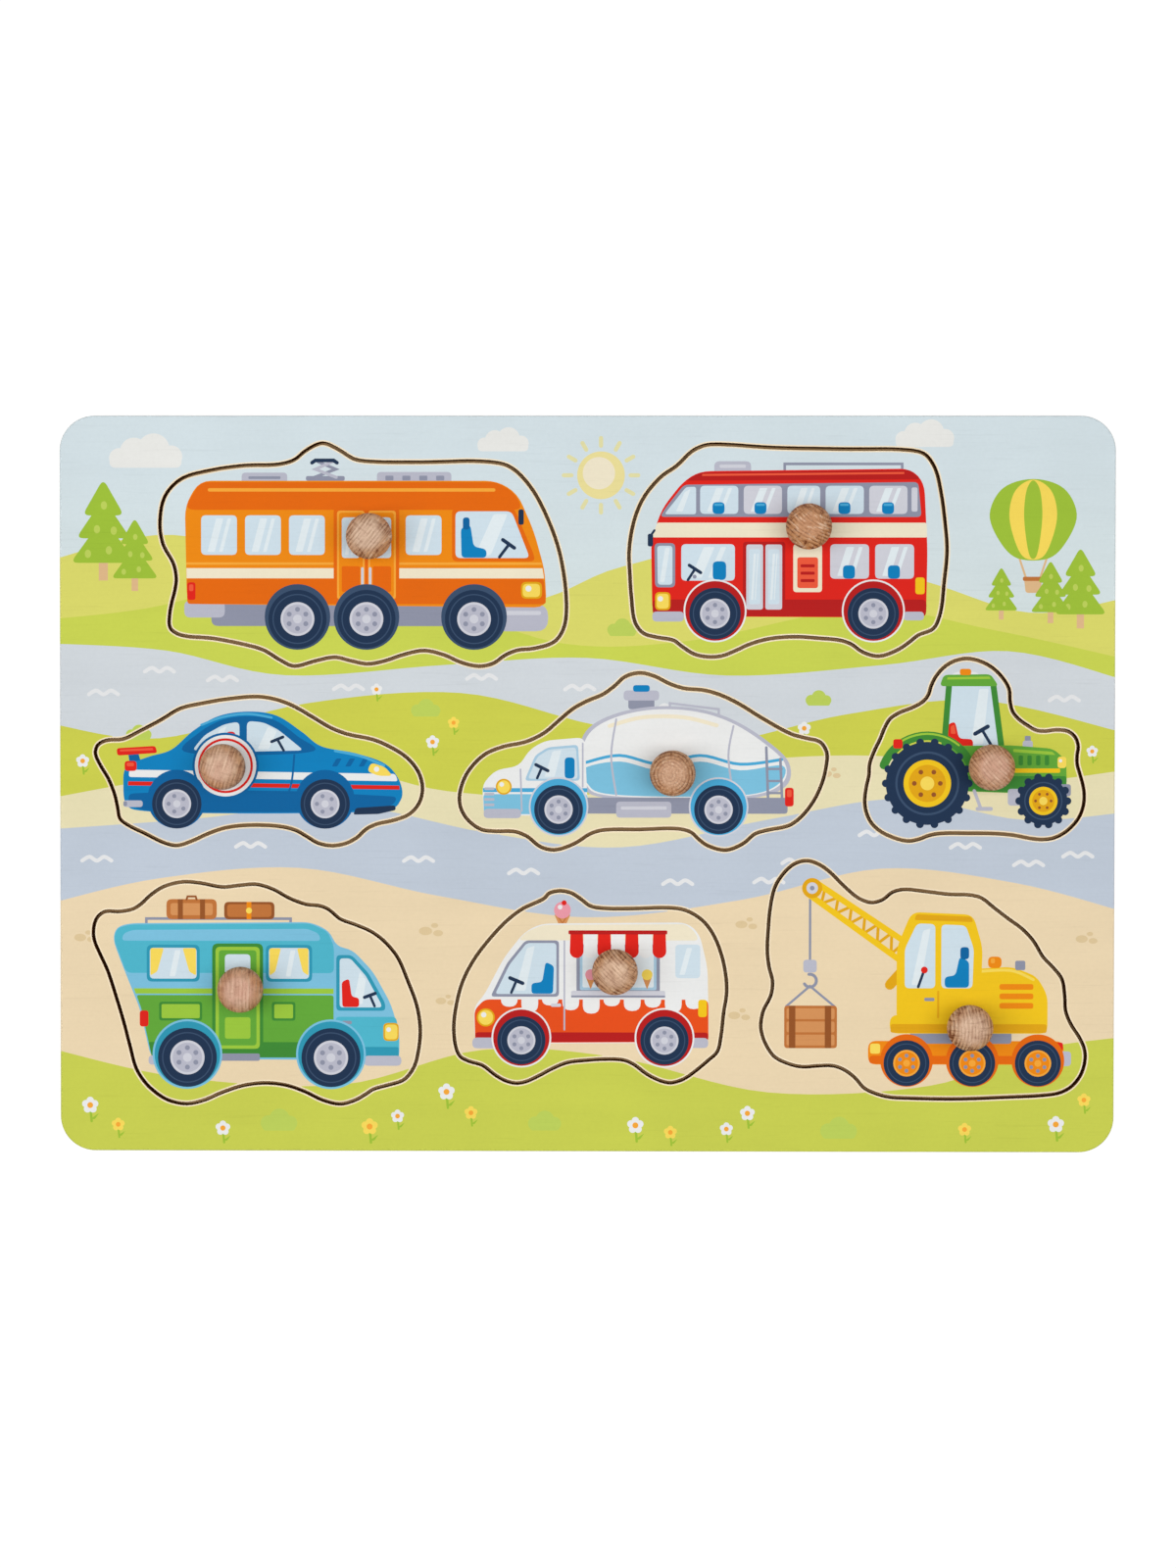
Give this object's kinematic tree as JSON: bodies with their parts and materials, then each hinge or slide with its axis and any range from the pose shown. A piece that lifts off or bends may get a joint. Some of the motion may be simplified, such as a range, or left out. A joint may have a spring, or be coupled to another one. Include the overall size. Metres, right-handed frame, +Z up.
{
  "type": "peg puzzle",
  "caption": "Flat wooden peg puzzle: a two-layer board with contour recesses and vehicle pieces that lift out, each by its own turned knob.",
  "frame": {"origin": "under the middle of the board, on the surface that the puzzle lies on", "axes": "+X to the right of the picture, +Y to the picture's upper edge, +Z up through the board to the knobs"},
  "size_m": [0.301, 0.21, 0.022],
  "materials": {
    "backing_plywood": "fine sanded birch plywood, matt clear lacquer",
    "printed_board": "plywood printed with a landscape in pale blue, green, grey blue and sand, matt",
    "tram_print": "plywood printed with an orange tram, matt, sawn walls scorched brown",
    "bus_print": "plywood printed with a red double-deck bus, matt, sawn walls scorched brown",
    "racing_car_print": "plywood printed with a blue racing car, matt, sawn walls scorched brown",
    "milk_tanker_print": "plywood printed with a white and light blue milk tanker, matt, sawn walls scorched brown",
    "tractor_print": "plywood printed with a green tractor, matt, sawn walls scorched brown",
    "camper_print": "plywood printed with a green and turquoise motor home, matt, sawn walls scorched brown",
    "ice_cream_van_print": "plywood printed with a white and red ice cream van, matt, sawn walls scorched brown",
    "crane_print": "plywood printed with a yellow crane lorry, matt, sawn walls scorched brown",
    "turned_beech": "turned beech with end grain on top, bare and fine sanded"
  },
  "bodies": {
    "board": {"backing_board": "backing_plywood", "front_board": "printed_board"},
    "tram": {"tram_piece": "tram_print", "tram_knob": "turned_beech"},
    "bus": {"bus_piece": "bus_print", "bus_knob": "turned_beech"},
    "racing_car": {"racing_car_piece": "racing_car_print", "racing_car_knob": "turned_beech"},
    "milk_tanker": {"milk_tanker_piece": "milk_tanker_print", "milk_tanker_knob": "turned_beech"},
    "tractor": {"tractor_piece": "tractor_print", "tractor_knob": "turned_beech"},
    "camper": {"camper_piece": "camper_print", "camper_knob": "turned_beech"},
    "ice_cream_van": {"ice_cream_van_piece": "ice_cream_van_print", "ice_cream_van_knob": "turned_beech"},
    "crane": {"crane_piece": "crane_print", "crane_knob": "turned_beech"}
  },
  "joints": [
    {"name": "tram_lift", "type": "slide", "parent": "board", "child": "tram", "axis": [0, 0, 1], "range_m": [0, 0.025]},
    {"name": "bus_lift", "type": "slide", "parent": "board", "child": "bus", "axis": [0, 0, 1], "range_m": [0, 0.025]},
    {"name": "racing_car_lift", "type": "slide", "parent": "board", "child": "racing_car", "axis": [0, 0, 1], "range_m": [0, 0.025]},
    {"name": "milk_tanker_lift", "type": "slide", "parent": "board", "child": "milk_tanker", "axis": [0, 0, 1], "range_m": [0, 0.025]},
    {"name": "tractor_lift", "type": "slide", "parent": "board", "child": "tractor", "axis": [0, 0, 1], "range_m": [0, 0.025]},
    {"name": "camper_lift", "type": "slide", "parent": "board", "child": "camper", "axis": [0, 0, 1], "range_m": [0, 0.025]},
    {"name": "ice_cream_van_lift", "type": "slide", "parent": "board", "child": "ice_cream_van", "axis": [0, 0, 1], "range_m": [0, 0.025]},
    {"name": "crane_lift", "type": "slide", "parent": "board", "child": "crane", "axis": [0, 0, 1], "range_m": [0, 0.025]}
  ]
}
